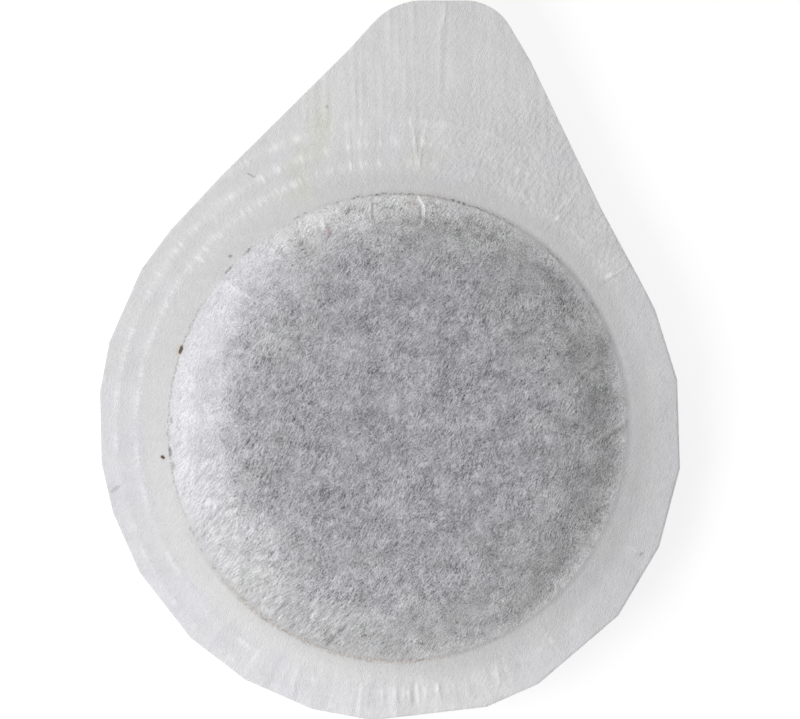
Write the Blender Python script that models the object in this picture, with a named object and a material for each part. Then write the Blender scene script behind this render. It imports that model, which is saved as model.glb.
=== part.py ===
"""Espresso pod: a pressed puck of ground coffee, sealed between two sheets of filter paper with a tab.

Metres, +Z up, +Y towards the pull tab. The origin is the centre of the flat underside that the pod rests
on, straight below the middle of the pocket.
"""

import math

import bmesh
import bpy
from mathutils import Matrix, Vector

# Pocket that holds the coffee
POCKET_RADIUS = 0.0220
POCKET_OVAL = 0.0002  # its radius is longer by this along Y, and shorter by this along X
CROWN_RISE = 0.0037  # top of the crown above the middle of the seam
CROWN_POWER = 6.0  # a higher power makes the top flatter and the shoulder steeper
CUP_DEPTH = 0.0060  # middle of the seam above the face that the pod rests on
REST_RADIUS = 0.0150  # flat face that the pod rests on

# Filter paper
PAPER_THICKNESS = 0.00012
SHEET_GAP = 0.0001  # between the two sheets along the seam

# Pleats, which the paper takes up where the pocket is pressed out of a flat sheet
PLEAT_COUNT = 48
CROWN_PLEAT = 0.00005
CUP_PLEAT = 0.00010

# Seam: a plain band next to the pocket, then rings of ridges left by the sealing jaws
PLAIN_BAND = 0.0023
RIDGE_COUNT = 3
RIDGE_PITCH = 0.00195
RIDGE_CREST = 0.0007  # from a ridge's inner foot out to its crest
RIDGE_HEIGHT = 0.00015
SEAM_WAVE = 0.0002  # rise and fall of the cut edge
WAVE_COUNT = 5

# Cut edge: short straight cuts whose corners lie on an oval, punched a little off centre
FLANGE_WIDTH = 0.0058
FLANGE_SHIFT = -0.0007  # the oval's centre along X
FLANGE_OVAL = 0.0003
FLANGE_OVAL_AZIMUTH = 125.0  # degrees from +X to the oval's long way
CUT_CORNERS = (
    138, 147.5, 163, 173, 187, 197, 210, 226.5, 240, 254.5, 266.5, 289, 300, 320.5, 336, 352, 369.5, 384, 389
)  # degrees from +X about the oval's centre

# Pull tab, between the last corner and the first
TAB_LENGTH = 0.0185  # past the pocket's rim
TAB_TIP_WIDTH = 0.0096  # between the two corners before they are rounded
TAB_LEAN = 0.0044  # middle of the tip to the right of the pocket's middle
TAB_LEFT_RADIUS = 0.0062
TAB_RIGHT_RADIUS = 0.0049
TAB_BEND_OUT = 0.0034  # the right side's first stretch: how far it goes outwards
TAB_BEND_DOWN = 0.0057  # and down, before it bends
TAB_HOLLOW = 0.00025  # how far the rest of the right side dips inwards
TAB_HOLLOW_PLACE = 0.65  # share of the way from the bend down to the dip
TAB_DENT_OUT = 0.0042  # the left side's first stretch: how far it goes outwards
TAB_DENT_DOWN = 0.0046  # and down, to a small dent
TAB_SWELL = 0.0002  # how far the rest of the left side bulges outwards
TAB_SWELL_PLACE = 0.7  # share of the way from the dent down to the bulge
TAB_LIFT = 0.0010  # height of the tip above the rest of the seam

# Coffee
PUCK_CLEARANCE = 0.0003  # puck to paper, above and below
PUCK_RIM_CLEARANCE = 0.0006  # puck to the pocket's rim

# Density of the mesh
SPOKES = 2 * PLEAT_COUNT  # a crest and a valley for each pleat
PUCK_SEGMENTS = 48
CROWN_RINGS = (0.45, 0.72, 0.85, 0.93, 1.0)  # shares of the pocket's radius
CUP_WALL_RINGS = 3
CUP_INNER_RING = 0.9  # share of the resting face's radius, which keeps that face flat to near its edge
RING_GAP = 0.00012  # least distance between the seam's rings of points
TIP_STEPS = 6
CORNER_SLACK = 1e-6  # share of a side by which a ray may miss its end through rounding
MERGE_DISTANCE = 1e-6  # joins the points that a spin leaves on its axis
PUCK_SHARP_ANGLE = math.radians(40)

# Worked out from the sizes above
SEAM_HEIGHT = CUP_DEPTH
CROWN_INSIDE = CROWN_RISE - PAPER_THICKNESS - SHEET_GAP / 2
CUP_INSIDE = CUP_DEPTH - PAPER_THICKNESS - SHEET_GAP / 2
REST_SHARE = REST_RADIUS / POCKET_RADIUS
CUP_RINGS = (CUP_INNER_RING * REST_SHARE,) + tuple(
    REST_SHARE + (1 - REST_SHARE) * ring / CUP_WALL_RINGS for ring in range(CUP_WALL_RINGS + 1)
)

PAPER_COLOUR = (0.72, 0.72, 0.71)
PAPER_ROUGHNESS = 0.85
COFFEE_COLOUR = (0.10, 0.055, 0.03)
COFFEE_ROUGHNESS = 0.95


def clear_scene():
    for obj in list(bpy.data.objects):
        bpy.data.objects.remove(obj, do_unlink=True)


def make_material(name, colour, roughness):
    material = bpy.data.materials.new(name)
    material.use_nodes = True
    shader = material.node_tree.nodes["Principled BSDF"]
    shader.inputs["Base Color"].default_value = (*colour, 1.0)
    shader.inputs["Roughness"].default_value = roughness
    shader.inputs["Metallic"].default_value = 0.0
    material.diffuse_color = (*colour, 1.0)
    return material


def add_object(name, bm, material, pod, height):
    mesh = bpy.data.meshes.new(name)
    bm.to_mesh(mesh)
    bm.free()
    mesh.materials.append(material)
    mesh.shade_smooth()
    obj = bpy.data.objects.new(name, mesh)
    bpy.context.scene.collection.objects.link(obj)
    obj.parent = pod
    obj.location = (0.0, 0.0, height)
    return obj


def spun(profile, steps):
    """A profile of distances and heights, spun once round Z and closed on the axis."""
    bm = bmesh.new()
    line = [bm.verts.new((distance, 0.0, height)) for distance, height in profile]
    ring = line + [bm.edges.new(pair) for pair in zip(line, line[1:])]
    centre = (0, 0, 0)
    bmesh.ops.spin(bm, geom=ring, cent=centre, axis=(0, 0, 1), angle=2 * math.pi, steps=steps, use_merge=True)
    bmesh.ops.remove_doubles(bm, verts=bm.verts, dist=MERGE_DISTANCE)
    return bm


def round_corner(before, corner, after, radius, steps):
    """Points of the arc that touches both sides of a corner."""
    back = (before - corner).normalized()
    ahead = (after - corner).normalized()
    half = back.angle(ahead) / 2
    centre = corner + (back + ahead).normalized() * radius / math.sin(half)
    start = corner + back * radius / math.tan(half)
    turn = math.pi - 2 * half
    return [centre + Matrix.Rotation(turn * step / steps, 2) @ (start - centre) for step in range(steps + 1)]


def cut_corner(azimuth):
    """A corner of the round part: a point of the oval, at this many degrees about its centre."""
    swing = math.radians(azimuth - FLANGE_OVAL_AZIMUTH)
    radius = POCKET_RADIUS + FLANGE_WIDTH + FLANGE_OVAL * math.cos(2 * swing)
    angle = math.radians(azimuth)
    return Vector((FLANGE_SHIFT + radius * math.cos(angle), radius * math.sin(angle)))


def beside(start, end, place, offset):
    """A point this share of the way from start to end, and this far to the right of that way."""
    side = end - start
    return start + side * place + Vector((side.y, -side.x)).normalized() * offset


def cut_edge():
    """The outline, anticlockwise: the round part's corners, the tab's right side, its rounded tip, and its
    left side."""
    round_part = [cut_corner(azimuth) for azimuth in CUT_CORNERS]
    tip_y = POCKET_RADIUS + TAB_LENGTH
    tip_right = Vector((TAB_LEAN + TAB_TIP_WIDTH / 2, tip_y))
    tip_left = Vector((TAB_LEAN - TAB_TIP_WIDTH / 2, tip_y))
    bend = tip_right + Vector((TAB_BEND_OUT, -TAB_BEND_DOWN))
    hollow = beside(bend, round_part[-1], TAB_HOLLOW_PLACE, TAB_HOLLOW)
    dent = tip_left - Vector((TAB_DENT_OUT, TAB_DENT_DOWN))
    swell = beside(dent, round_part[0], TAB_SWELL_PLACE, TAB_SWELL)
    right_arc = round_corner(bend, tip_right, tip_left, TAB_RIGHT_RADIUS, TIP_STEPS)
    left_arc = round_corner(tip_right, tip_left, dent, TAB_LEFT_RADIUS, TIP_STEPS)
    return round_part + [hollow, bend] + right_arc + left_arc + [dent, swell]


def edge_distance(azimuth, outline):
    """How far from the pocket's middle the ray at this angle crosses the cut edge."""
    ray = Vector((math.cos(azimuth), math.sin(azimuth)))
    for start, end in zip(outline, outline[1:] + outline[:1]):
        side = end - start
        across = ray.cross(side)
        if across <= 0:
            continue
        share = start.cross(ray) / across
        if -CORNER_SLACK <= share <= 1 + CORNER_SLACK:
            return start.cross(side) / across
    raise ValueError("the cut edge doesn't go all the way round")


def edge_spokes(outline):
    """The angle at which each spoke meets the cut edge: its own, or that of a corner within half a step."""
    step = 2 * math.pi / SPOKES
    angles = [step * spoke for spoke in range(SPOKES)]
    for corner in outline:
        angle = math.atan2(corner.y, corner.x) % (2 * math.pi)
        angles[round(angle / step) % SPOKES] = angle
    own = [step * spoke for spoke in range(SPOKES)]
    return [start + math.remainder(angle - start, 2 * math.pi) for start, angle in zip(own, angles)]


def pocket_radius(angle):
    return POCKET_RADIUS - POCKET_OVAL * math.cos(2 * angle)


def crown_height(share):
    """Inside of the crown above the seam, at a share of the pocket's radius."""
    return CROWN_INSIDE * (1 - share**CROWN_POWER)


def cup_height(share):
    """Inside of the cup above the seam, so below zero: flat where it rests, then a parabola to the rim."""
    climb = max(share - REST_SHARE, 0.0) / (1 - REST_SHARE)
    return -CUP_INSIDE * (1 - climb**2)


def pleat_height(share, first_share, depth, spoke):
    """Crest on one spoke and valley on the next, fading out at the flat top and at the rim."""
    along = max(share - first_share, 0.0) / (1 - first_share)
    return depth * math.sin(math.pi * along) * (1 if spoke % 2 else -1)


def ridge_height(distance):
    """A ridge climbs from its inner foot to its crest and falls back to the next ridge's foot."""
    number, along = divmod(distance - POCKET_RADIUS - PLAIN_BAND, RIDGE_PITCH)
    if not 0 <= number < RIDGE_COUNT:
        return 0.0
    climb = along / RIDGE_CREST
    fall = (RIDGE_PITCH - along) / (RIDGE_PITCH - RIDGE_CREST)
    return RIDGE_HEIGHT * min(climb, fall)


def seam_height(point, rim):
    """The seam's middle: ridges, a slow wave that grows towards the cut edge, and the tab's lift."""
    distance = point.length
    grown = min((distance - rim) / FLANGE_WIDTH, 1.0)
    wave = SEAM_WAVE * grown * math.sin(WAVE_COUNT * math.atan2(point.y, point.x))
    lift = TAB_LIFT * (max(point.y - POCKET_RADIUS, 0.0) / TAB_LENGTH) ** 2
    return ridge_height(distance) + wave + lift


def seam_rings(edge):
    """Distances of the seam's rings of points: the plain band's end, each ridge's crest and foot, halfway
    from there to the cut edge, and the cut edge. A narrow seam has its outer rings close up at its edge."""
    rings = [POCKET_RADIUS + PLAIN_BAND]
    for _ in range(RIDGE_COUNT):
        foot = rings[-1]
        rings += [foot + RIDGE_CREST, foot + RIDGE_PITCH]
    rings += [(rings[-1] + edge) / 2, edge]
    last = len(rings) - 1
    return [min(distance, edge - (last - ring) * RING_GAP) for ring, distance in enumerate(rings)]


def sheet_points(shares, inside_height, first_share, pleat_depth):
    """Places of a sheet's points on the side that faces the coffee: for each spoke, from the middle out."""
    outline = cut_edge()
    spokes = []
    for spoke, edge_angle in enumerate(edge_spokes(outline)):
        angle = 2 * math.pi * spoke / SPOKES
        rim = pocket_radius(angle)
        points = []
        for share in (0.0,) + shares:
            height = inside_height(share) + pleat_height(share, first_share, pleat_depth, spoke)
            points.append(Vector((rim * share * math.cos(angle), rim * share * math.sin(angle), height)))
        edge = edge_distance(edge_angle, outline)
        for distance in seam_rings(edge):
            turned = angle + (edge_angle - angle) * (distance - rim) / (edge - rim)
            place = Vector((distance * math.cos(turned), distance * math.sin(turned)))
            points.append(Vector((*place, seam_height(place, rim))))
        spokes.append(points)
    return spokes


def make_sheet(name, spokes, side, material, pod):
    """One sheet of paper. A flat disc of rings is spun about Z, one unit to a ring. Each of its points
    then takes its place, and the sheet gets its thickness on the side away from the coffee."""
    bm = spun([(ring, 0.0) for ring in range(len(spokes[0]))], SPOKES)
    for vert in bm.verts:
        spoke = round(math.atan2(vert.co.y, vert.co.x) / (2 * math.pi) * SPOKES) % SPOKES
        vert.co = spokes[spoke][round(vert.co.length)]
    bm.normal_update()
    if side * sum(face.normal.z for face in bm.faces) < 0:
        bmesh.ops.reverse_faces(bm, faces=bm.faces)
    obj = add_object(name, bm, material, pod, SEAM_HEIGHT + side * SHEET_GAP / 2)
    paper = obj.modifiers.new("Paper", "SOLIDIFY")
    paper.thickness = PAPER_THICKNESS
    paper.offset = 1.0
    paper.use_even_offset = True
    return obj


def make_puck(material, pod):
    """The pressed coffee: a profile that keeps its clearance to both sheets, spun about Z and made as oval
    as the pocket."""
    widest = 1 - PUCK_RIM_CLEARANCE / POCKET_RADIUS
    top = [share for share in (0.0,) + CROWN_RINGS if share < widest] + [widest]
    bottom = [share for share in (0.0,) + CUP_RINGS if share < widest] + [widest]
    inset = PUCK_CLEARANCE - SHEET_GAP / 2
    profile = [(share * POCKET_RADIUS, cup_height(share) + inset) for share in bottom]
    profile += [(share * POCKET_RADIUS, crown_height(share) - inset) for share in reversed(top)]
    bm = spun(profile, PUCK_SEGMENTS)
    oval = POCKET_OVAL / POCKET_RADIUS
    bmesh.ops.scale(bm, vec=(1 - oval, 1 + oval, 1.0), verts=bm.verts)
    bmesh.ops.recalc_face_normals(bm, faces=bm.faces)
    obj = add_object("coffee_puck", bm, material, pod, SEAM_HEIGHT)
    obj.data.set_sharp_from_angle(angle=PUCK_SHARP_ANGLE)
    return obj


def main():
    clear_scene()
    pod = bpy.data.objects.new("espresso_pod", None)
    bpy.context.scene.collection.objects.link(pod)
    paper = make_material("filter_paper", PAPER_COLOUR, PAPER_ROUGHNESS)
    paper_below = make_material("filter_paper_below", PAPER_COLOUR, PAPER_ROUGHNESS)
    coffee = make_material("ground_coffee", COFFEE_COLOUR, COFFEE_ROUGHNESS)
    make_puck(coffee, pod)
    crown = sheet_points(CROWN_RINGS, crown_height, CROWN_RINGS[0], CROWN_PLEAT)
    make_sheet("upper_paper", crown, 1, paper, pod)
    cup = sheet_points(CUP_RINGS, cup_height, REST_SHARE, CUP_PLEAT)
    make_sheet("lower_paper", cup, -1, paper_below, pod)


main()
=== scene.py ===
"""The looks of an espresso pod: two sheets of filter paper round pressed coffee, built on its CAD model.

Metres, +Z up, +Y towards the pull tab. The pod rests on its flat underside, and the origin is the middle of
that face. The sheets and the coffee are surfaces worked out with numpy on grids of rings and spokes.
"""

import math

import bpy
import numpy as np
from bpy.props import FloatProperty, FloatVectorProperty, PointerProperty
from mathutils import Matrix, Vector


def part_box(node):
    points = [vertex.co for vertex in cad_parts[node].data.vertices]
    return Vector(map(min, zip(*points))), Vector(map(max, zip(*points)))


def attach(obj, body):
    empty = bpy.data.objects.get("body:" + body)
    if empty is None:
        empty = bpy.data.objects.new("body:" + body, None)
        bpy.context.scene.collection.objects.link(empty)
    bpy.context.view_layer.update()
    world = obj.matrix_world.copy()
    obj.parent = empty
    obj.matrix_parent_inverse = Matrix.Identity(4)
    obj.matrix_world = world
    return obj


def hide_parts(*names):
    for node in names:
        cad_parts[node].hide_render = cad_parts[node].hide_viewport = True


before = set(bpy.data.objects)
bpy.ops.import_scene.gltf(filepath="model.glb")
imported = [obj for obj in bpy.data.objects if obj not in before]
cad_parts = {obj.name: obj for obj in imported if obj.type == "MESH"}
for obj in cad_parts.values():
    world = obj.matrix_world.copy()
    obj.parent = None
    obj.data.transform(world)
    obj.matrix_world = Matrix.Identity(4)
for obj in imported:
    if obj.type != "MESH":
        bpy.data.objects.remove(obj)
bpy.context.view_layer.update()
UPPER_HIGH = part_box("upper_paper")[1]
PUCK_LOW, PUCK_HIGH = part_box("coffee_puck")

bl_info = {
    "name": "Espresso Pod",
    "version": (1, 0, 0),
    "blender": (4, 5, 0),
    "location": "3D View > Sidebar > Pod",
    "description": "Dresses the pod's two sheets of filter paper and its coffee, and sets its stage",
    "category": "Add Mesh",
}

MM = 0.001
TURN = 2 * math.pi

# Pocket
PUCK_RIM_CLEARANCE = 0.6 * MM
POCKET_RADIUS = (PUCK_HIGH.y - PUCK_LOW.y + PUCK_HIGH.x - PUCK_LOW.x) / 4 + PUCK_RIM_CLEARANCE
POCKET_OVAL = 0.2 * MM
SEAM_HEIGHT = 6.0 * MM
CROWN_FLAT = 0.55
CROWN_SHOULDER = 1.7
REST_RADIUS = 15.0 * MM
PLEATS = 48
TUFT_DIRECTION = 50.0

# Paper
THICKNESS = 0.12 * MM
SEAM_GAP = 0.02 * MM

# Coffee
GRIT = 0.05 * MM
GRIT_CLEARANCE = 0.30 * MM
PUCK_EDGE = 0.04 * MM

# Seam
PLAIN_BAND = 2.3 * MM
RIDGE_COUNT = 3
RIDGE_PITCH = 1.95 * MM
RIDGE_CREST = 0.7 * MM
RIDGE_HALF_WIDTH = 0.24 * RIDGE_PITCH
SEALED_WIDTH = PLAIN_BAND + RIDGE_COUNT * RIDGE_PITCH
SEALED_SHARE = 0.88
EDGE_WAVES = 5
SLACK = 0.02 * MM
DROOP_WIDTH = 0.2 * MM
GROOVE_PLACE = 0.1 * MM
GROOVE_DEPTH = 0.02 * MM
GROOVE_HALF_WIDTH = 0.25 * MM

# Seeds of the noise that makes both a height and a tone
PAD_SEED = 51
TUFT_SEED = 47
WRINKLE_SEED = 45

# Cut edge: short straight cuts between corners on an oval, and the tab between the last corner and the first
FLANGE_WIDTH = 5.8 * MM
FLANGE_SHIFT = -0.7 * MM
FLANGE_OVAL = 0.3 * MM
FLANGE_OVAL_AZIMUTH = 125.0
CUT_CORNERS = (
    138, 147.5, 163, 173, 187, 197, 210, 226.5, 240, 254.5, 266.5, 289, 300, 320.5, 336, 352, 369.5, 384, 389
)  # degrees from +X about the oval's centre
TAB_TIP_Y = UPPER_HIGH.y
TAB_TIP_WIDTH = 9.6 * MM
TAB_LEAN = 4.4 * MM
TAB_LEFT_RADIUS = 6.2 * MM
TAB_RIGHT_RADIUS = 4.9 * MM
TAB_BEND = (3.4 * MM, -5.7 * MM)
TAB_HOLLOW = 0.25 * MM
TAB_HOLLOW_PLACE = 0.65
TAB_DENT = (-4.2 * MM, -4.6 * MM)
TAB_SWELL = 0.2 * MM
TAB_SWELL_PLACE = 0.7
TIP_STEPS = 10

# Density of the grids
SPOKES = 820
CLOSER_SPOKES = 0.35
INNER_RINGS = 25
SHOULDER_SHARE = 0.78
SHOULDER_RINGS = 20
SEALED_RINGS = 41
OUTER_RINGS = (0.12, 0.24, 0.36, 0.48, 0.6, 0.72, 0.84, 0.93, 0.98, 1.0)
HIDDEN_POCKET = (0.12, 0.24, 0.36, 0.48, 0.58, 0.66, 0.72, 0.78, 0.83, 0.88, 0.92, 0.96, 1.0)
HIDDEN_OUTER = (0.35, 0.7, 1.0)
COFFEE_SPOKES = 300
COFFEE_RINGS = 60
NOISE_WAVES = 20
SHARP_ANGLE = 50.0

# Colours of what shows in the paper, and of the gaps between grounds
FLECK_COLOUR = (0.66, 0.66, 0.69)
THREAD_COLOUR = (0.82, 0.82, 0.84)
# Pressed paper, which also paints a highlight where pads and creases catch the light
PRESSED_AND_HIGHLIGHT_COLOUR = (0.86, 0.86, 0.86)
RIM_LINE_COLOUR = (0.34, 0.27, 0.225)
GAP_COLOUR = (0.012, 0.008, 0.006)

# Stage: the lamps' azimuth and elevation in degrees about the middle of the pocket, distance and size
KEY_PLACE = (204.0, 54.0, 0.215, 0.12)
FILL_PLACE = (110.0, 35.0, 0.60, 0.25)
VIEW_CENTRE = (0.21 * MM, 6.47 * MM)
SENSOR_WIDTH = 36.0
FLOOR_RADIUS = 1.5
FLOOR_POINTS = 96
FLOOR_GLOW = 0.85
FLOOR_COLOUR = 0.20
FLOOR_BOUNCE = 0.80


def length_setting(name, description, default):
    return FloatProperty(name=name, description=description, default=default, unit="LENGTH")


def power_setting(name, description, default):
    return FloatProperty(name=name, description=description, default=default, unit="POWER")


def colour_setting(name, description, default, most=1):
    return FloatVectorProperty(
        name=name, description=description, default=default, subtype="COLOR", min=0, max=most
    )


class PodSizes(bpy.types.PropertyGroup):
    """Sizes that a user would change."""

    crown_rise: length_setting(
        "Crown rise", "Top of the crown above the middle of the seam", UPPER_HIGH.z - SEAM_HEIGHT
    )
    lump_height: length_setting(
        "Lump height", "How far the ground coffee pushes the paper up in lumps", 0.012 * MM
    )
    ridge_height: length_setting(
        "Ridge height", "Height of the rings that the sealing jaws leave", 0.032 * MM
    )
    pad_height: length_setting(
        "Pad height", "Height of the small pads that the jaws' teeth leave on the rings", 0.05 * MM
    )
    wrinkle_height: length_setting(
        "Wrinkle height", "Height of the fine wrinkles that run outwards in the seam", 0.004 * MM
    )
    wave_height: length_setting("Edge wave", "Rise and fall of the cut edge", 0.2 * MM)
    tab_lift: length_setting("Tab lift", "Height of the tab's tip above the rest of the seam", 0.7 * MM)


class PodColours(bpy.types.PropertyGroup):
    """Colours that a user would change."""

    seam: colour_setting("Seam", "Paper where two sheets are sealed together", (0.752, 0.752, 0.753))
    crown: colour_setting("Crown", "Paper of the pocket with no coffee behind it", (0.655, 0.655, 0.660))
    pocket: colour_setting("Pocket", "Paper over coffee, which shows through it", (0.325, 0.325, 0.334))
    cool: colour_setting("Cool tint", "What tints the paper where it is most lilac", (1.0, 0.986, 1.032), 2)
    # The crumb colour also paints the shade in the rim's bend on the left and on top.
    crumb: colour_setting("Crumb", "Crumbs of coffee under the paper", (0.095, 0.078, 0.070))
    stain: colour_setting("Stain", "What coffee oil and water have left in the paper", (0.95, 0.95, 0.83))
    coffee: colour_setting("Coffee", "Ground coffee", (0.075, 0.038, 0.020))


class PodStage(bpy.types.PropertyGroup):
    """Light and camera."""

    key_strength: power_setting("Key light", "Power of the soft light on the left", 0.372)
    fill_strength: power_setting("Fill light", "Power of the weak light behind", 0.83)
    sky_strength: FloatProperty(
        name="Sky", description="Strength of the even light from all round", default=0.27, min=0
    )
    view_width: length_setting(
        "View width", "Width of the camera's view at the height of the seam", 76.0 * MM
    )
    lens: FloatProperty(name="Lens", description="Focal length in millimetres", default=200.0, min=1)


def noise(x, y, size, seed):
    """A smooth random field with a mean of 0 and a variance of 1: a sum of cosine waves, each with its own
    direction and phase, and with a wavelength near the given size."""
    rng = np.random.default_rng(seed)
    total = np.zeros_like(x)
    for _ in range(NOISE_WAVES):
        turn, phase = rng.uniform(0, TURN, 2)
        number = TURN / (size * rng.uniform(0.7, 1.5))
        total += np.cos(number * (x * math.cos(turn) + y * math.sin(turn)) + phase)
    return total * math.sqrt(2 / NOISE_WAVES)


def ease(value, low, high):
    """0 below low, 1 above high, and a cubic with level ends between them."""
    share = np.clip((value - low) / (high - low), 0, 1)
    return share * share * (3 - 2 * share)


def band(value, start, full, fading, end):
    """0 below start, 1 from full to fading, and 0 again above end."""
    return ease(value, start, full) * (1 - ease(value, fading, end))


def bump(value, middle, half_width):
    """A bell: 1 at the middle, and near 0 beyond twice the half width."""
    return np.exp(-(((value - middle) / half_width) ** 2))


def cross(a, b):
    """The cross product of vectors in plan, which points up."""
    return a[..., 0] * b[..., 1] - a[..., 1] * b[..., 0]


def unit(vector):
    return vector / np.linalg.norm(vector)


def round_corner(before, corner, after, radius):
    """Points of the arc that touches both sides of a corner, turned in even steps about its centre."""
    back, ahead = unit(before - corner), unit(after - corner)
    half = math.acos(back @ ahead) / 2
    centre = corner + unit(back + ahead) * radius / math.sin(half)
    start = corner + back * radius / math.tan(half) - centre
    turns = np.linspace(0, math.pi - 2 * half, TIP_STEPS)
    across = np.array([-start[1], start[0]])
    return centre + np.outer(np.cos(turns), start) + np.outer(np.sin(turns), across)


def beside(start, end, place, offset):
    """A point this share of the way from start to end, and this far to the right of that way."""
    side = end - start
    return start + side * place + unit(np.array([side[1], -side[0]])) * offset


def cut_outline():
    """The cut edge's points, anticlockwise: corners on an oval, the tab's right side, its rounded tip, and
    its left side."""
    azimuth = np.array(CUT_CORNERS, float)
    oval = FLANGE_OVAL * np.cos(2 * np.radians(azimuth - FLANGE_OVAL_AZIMUTH))
    radius = POCKET_RADIUS + FLANGE_WIDTH + oval
    turn = np.radians(azimuth)
    corners = np.stack([FLANGE_SHIFT + radius * np.cos(turn), radius * np.sin(turn)], -1)
    tip_right = np.array([TAB_LEAN + TAB_TIP_WIDTH / 2, TAB_TIP_Y])
    tip_left = np.array([TAB_LEAN - TAB_TIP_WIDTH / 2, TAB_TIP_Y])
    bend, dent = tip_right + TAB_BEND, tip_left + TAB_DENT
    hollow = beside(bend, corners[-1], TAB_HOLLOW_PLACE, TAB_HOLLOW)
    swell = beside(dent, corners[0], TAB_SWELL_PLACE, TAB_SWELL)
    right_arc = round_corner(bend, tip_right, tip_left, TAB_RIGHT_RADIUS)
    left_arc = round_corner(tip_right, tip_left, dent, TAB_LEFT_RADIUS)
    return np.vstack([corners, [hollow, bend], right_arc, left_arc, [dent, swell]])


def edge_spokes(outline):
    """The angle of each spoke in the pocket, its angle at the cut edge and its distance there. At the edge,
    the spoke next to a corner is moved onto it, so that corners stay sharp. A ray meets a side at start x
    side over ray x side. Spokes stand closer at the top and the bottom, where the narrow creases are."""
    even = np.arange(SPOKES) * TURN / SPOKES
    even = even + CLOSER_SPOKES / 2 * np.sin(2 * even)
    corner = np.arctan2(outline[:, 1], outline[:, 0])
    off = (corner[:, None] - even + math.pi) % TURN - math.pi
    nearest = np.abs(off).argmin(1)
    angle = even.copy()
    angle[nearest] += off[np.arange(len(corner)), nearest]
    ray = np.stack([np.cos(angle), np.sin(angle)], -1)[:, None]
    side = np.roll(outline, -1, 0) - outline
    with np.errstate(divide="ignore", invalid="ignore"):
        across = cross(ray, side[None])
        share = cross(outline[None], ray) / across
        distance = cross(outline, side)[None] / across
    rounding = 1e-6
    hit = (across > 0) & (share > -rounding) & (share < 1 + rounding)
    return even, angle, np.where(hit, distance, 0).max(1)


def pocket_rim(angle):
    """Radius of the pocket: a circle, made oval by a cosine of twice the angle."""
    return POCKET_RADIUS - POCKET_OVAL * np.cos(2 * angle)


def crown_shape(share):
    """1 over the flat top, and then half a cosine wave down to 0 at the pocket's rim."""
    along = np.clip(share - CROWN_FLAT, 0, None) / (1 - CROWN_FLAT)
    return np.cos(math.pi / 2 * along**CROWN_SHOULDER) ** 2


def cup_shape(share):
    """1 over the flat face that the pod rests on, and then a parabola to 0 at the pocket's rim."""
    rest = REST_RADIUS / POCKET_RADIUS
    climb = np.clip(share - rest, 0, None) / (1 - rest)
    return 1 - climb**2


class Spokes:
    """Places of a sheet's rings seen from above, and the fields that its heights and tones are made of. These
    are given azimuths in degrees, and sizes and distances in millimetres."""

    def __init__(self, pocket_rings, sealed_rings, outer_rings):
        even, at_edge, edge = edge_spokes(cut_outline())
        rim = pocket_rim(even)
        width = edge - rim
        sealed = np.minimum(width * SEALED_SHARE, SEALED_WIDTH)
        past = np.vstack([np.outer(sealed_rings, sealed), sealed + np.outer(outer_rings, width - sealed)])
        self.share = np.vstack([np.repeat(np.array(pocket_rings)[:, None], SPOKES, 1), np.ones_like(past)])
        inside = np.outer(pocket_rings, rim)
        self.past = np.vstack([inside - rim, past])
        self.distance = np.vstack([inside, rim + past])
        drawn = np.clip(self.past / width, 0, 1)
        self.angle = even + (at_edge - even) * drawn
        self.x = self.distance * np.cos(self.angle)
        self.y = self.distance * np.sin(self.angle)
        self.to_edge = edge - self.distance

    def off(self, azimuth):
        """How far each spoke is turned from an azimuth, from -180 to 180."""
        return (np.degrees(self.angle) - azimuth + 180) % 360 - 180

    def near(self, azimuth, half_width):
        """A bell about an azimuth."""
        return bump(self.off(azimuth), 0, half_width)

    def within(self, azimuth, whole, none):
        """1 up to one angle from an azimuth, and 0 beyond another."""
        return ease(-np.abs(self.off(azimuth)), -none, -whole)

    def facing(self, azimuth):
        """The cosine of how far each spoke is turned from an azimuth."""
        return np.cos(np.radians(self.off(azimuth)))

    def beyond(self, low, high):
        """0 up to a distance past the pocket's rim, and 1 beyond a second one."""
        return ease(self.past, low * MM, high * MM)

    def across(self, azimuth):
        """How far along its ring each point is from an azimuth."""
        return np.radians(self.off(azimuth)) * self.distance

    def beside_line(self, start, end):
        """Each point's share of the way from start to end, and how far to the right of that way it is."""
        start, end = np.array(start) * MM, np.array(end) * MM
        way = unit(end - start)
        x, y = self.x - start[0], self.y - start[1]
        return (x * way[0] + y * way[1]) / np.linalg.norm(end - start), x * way[1] - y * way[0]

    def field(self, size, seed):
        """Noise over the sheet."""
        return noise(self.x, self.y, size * MM, seed)

    def drawn_out(self, squeeze, size, seed):
        """Noise that is drawn out along the spokes, because distances past the rim count for less."""
        radius = POCKET_RADIUS + self.past * squeeze
        return noise(radius * np.cos(self.angle), radius * np.sin(self.angle), size * MM, seed)

    def laid_flat(self, height):
        """Where each point lay in the flat paper, as far from the middle as the paper's profile is long, and
        how far past the pocket's rim that is."""
        steps = np.hypot(np.diff(self.distance, axis=0), np.diff(height, axis=0))
        run = np.vstack([np.hypot(self.distance[:1], height[:1] - height[0]), steps]).cumsum(0)
        flat = np.stack([run * np.cos(self.angle), run * np.sin(self.angle), np.zeros_like(run)], -1)
        at_rim = run[self.share[:, 0] >= 1][0]
        return flat, run - at_rim


def fine_spokes():
    """Rings of the side that is seen, closer together over the shoulder and the seal."""
    inner = np.linspace(0, SHOULDER_SHARE, INNER_RINGS + 1)[1:]
    pocket = np.append(inner, np.linspace(SHOULDER_SHARE, 1, SHOULDER_RINGS + 1)[1:])
    return Spokes(pocket, np.arange(1, SEALED_RINGS + 1) / SEALED_RINGS, OUTER_RINGS)


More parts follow.
